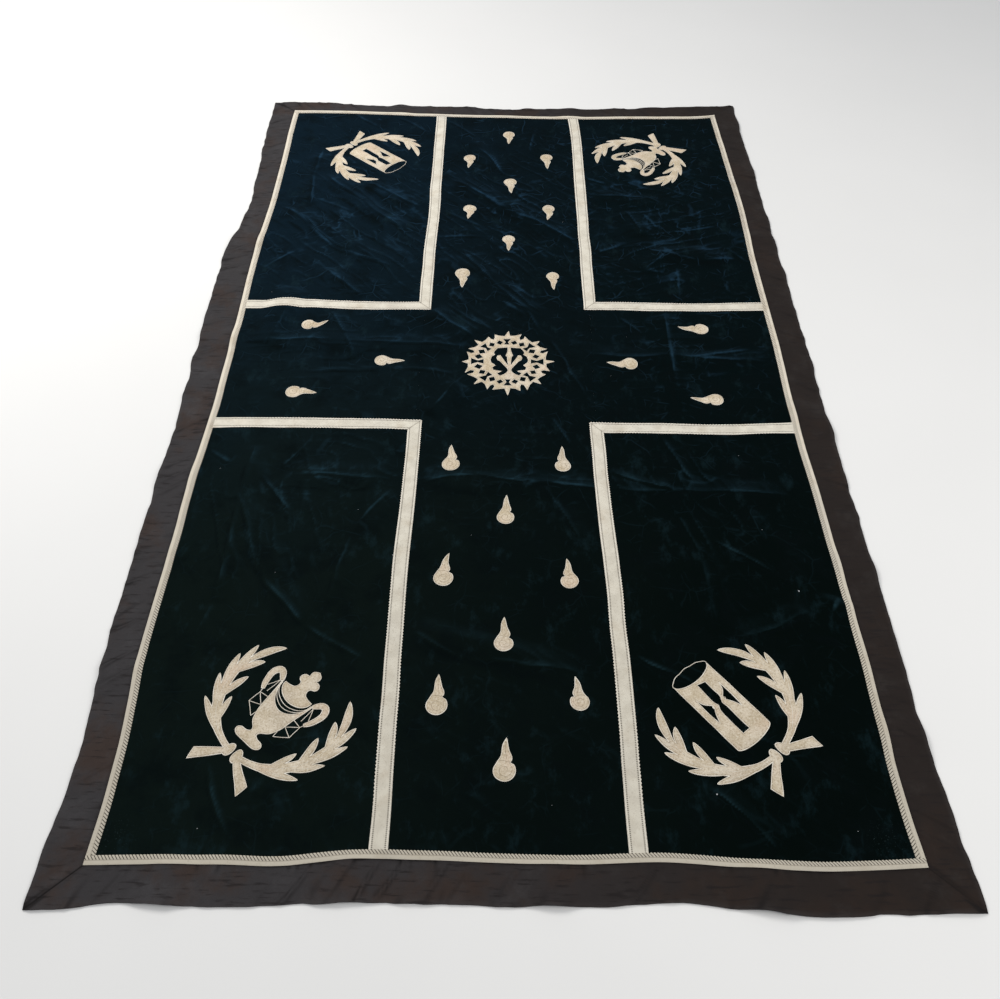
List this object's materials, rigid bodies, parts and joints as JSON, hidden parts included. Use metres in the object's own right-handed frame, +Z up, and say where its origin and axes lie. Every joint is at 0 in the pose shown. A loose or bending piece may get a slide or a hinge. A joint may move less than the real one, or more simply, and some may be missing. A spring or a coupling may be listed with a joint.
{
  "type": "funeral pall",
  "caption": "Flat-lying black velvet funeral pall with a brown border, a cross outlined in cream tape, and cut cloth tears, wreaths, urns, hourglasses and a crown of thorns.",
  "frame": {"origin": "on the underside of the middle velvet width, below the middle of the cross", "axes": "+X across the pall to the right, +Y along it towards its far end, +Z up from the surface it lies on"},
  "size_m": [1.8375, 3.05, 0.0139],
  "materials": {
    "velvet": "black cotton velvet with a cut pile, creased",
    "border": "faded brown-grey cotton, puckered at its seam and hem",
    "tape": "cream woven picot tape",
    "cut_cloth": "yellowed cream cotton, cut and corded along its edges"
  },
  "bodies": {
    "root": {"velvet_left": "velvet", "velvet_centre": "velvet", "velvet_right": "velvet", "border_left": "border", "border_right": "border", "border_near": "border", "border_far": "border", "edging_left": "tape", "edging_right": "tape", "edging_near": "tape", "edging_far": "tape", "cross_far_left": "tape", "cross_far_right": "tape", "cross_near_left": "tape", "cross_near_right": "tape", "tear_01": "cut_cloth", "tear_02": "cut_cloth", "tear_03": "cut_cloth", "tear_04": "cut_cloth", "tear_05": "cut_cloth", "tear_06": "cut_cloth", "tear_07": "cut_cloth", "tear_08": "cut_cloth", "tear_09": "cut_cloth", "tear_10": "cut_cloth", "tear_11": "cut_cloth", "tear_12": "cut_cloth", "tear_13": "cut_cloth", "tear_14": "cut_cloth", "tear_15": "cut_cloth", "tear_16": "cut_cloth", "tear_17": "cut_cloth", "tear_18": "cut_cloth", "tear_19": "cut_cloth", "tear_20": "cut_cloth", "tear_21": "cut_cloth", "tear_22": "cut_cloth", "tear_23": "cut_cloth", "tear_24": "cut_cloth", "crown": "cut_cloth", "branch_far_left_a": "cut_cloth", "branch_far_left_b": "cut_cloth", "branch_far_right_a": "cut_cloth", "branch_far_right_b": "cut_cloth", "branch_near_left_a": "cut_cloth", "branch_near_left_b": "cut_cloth", "branch_near_right_a": "cut_cloth", "branch_near_right_b": "cut_cloth", "hourglass_far_left": "cut_cloth", "hourglass_near_right": "cut_cloth", "urn_far_right": "cut_cloth", "urn_near_left": "cut_cloth", "lid_far_right": "cut_cloth", "lid_near_left": "cut_cloth", "handle_far_right_a": "cut_cloth", "handle_far_right_b": "cut_cloth", "handle_near_left_a": "cut_cloth", "handle_near_left_b": "cut_cloth"}
  },
  "joints": []
}
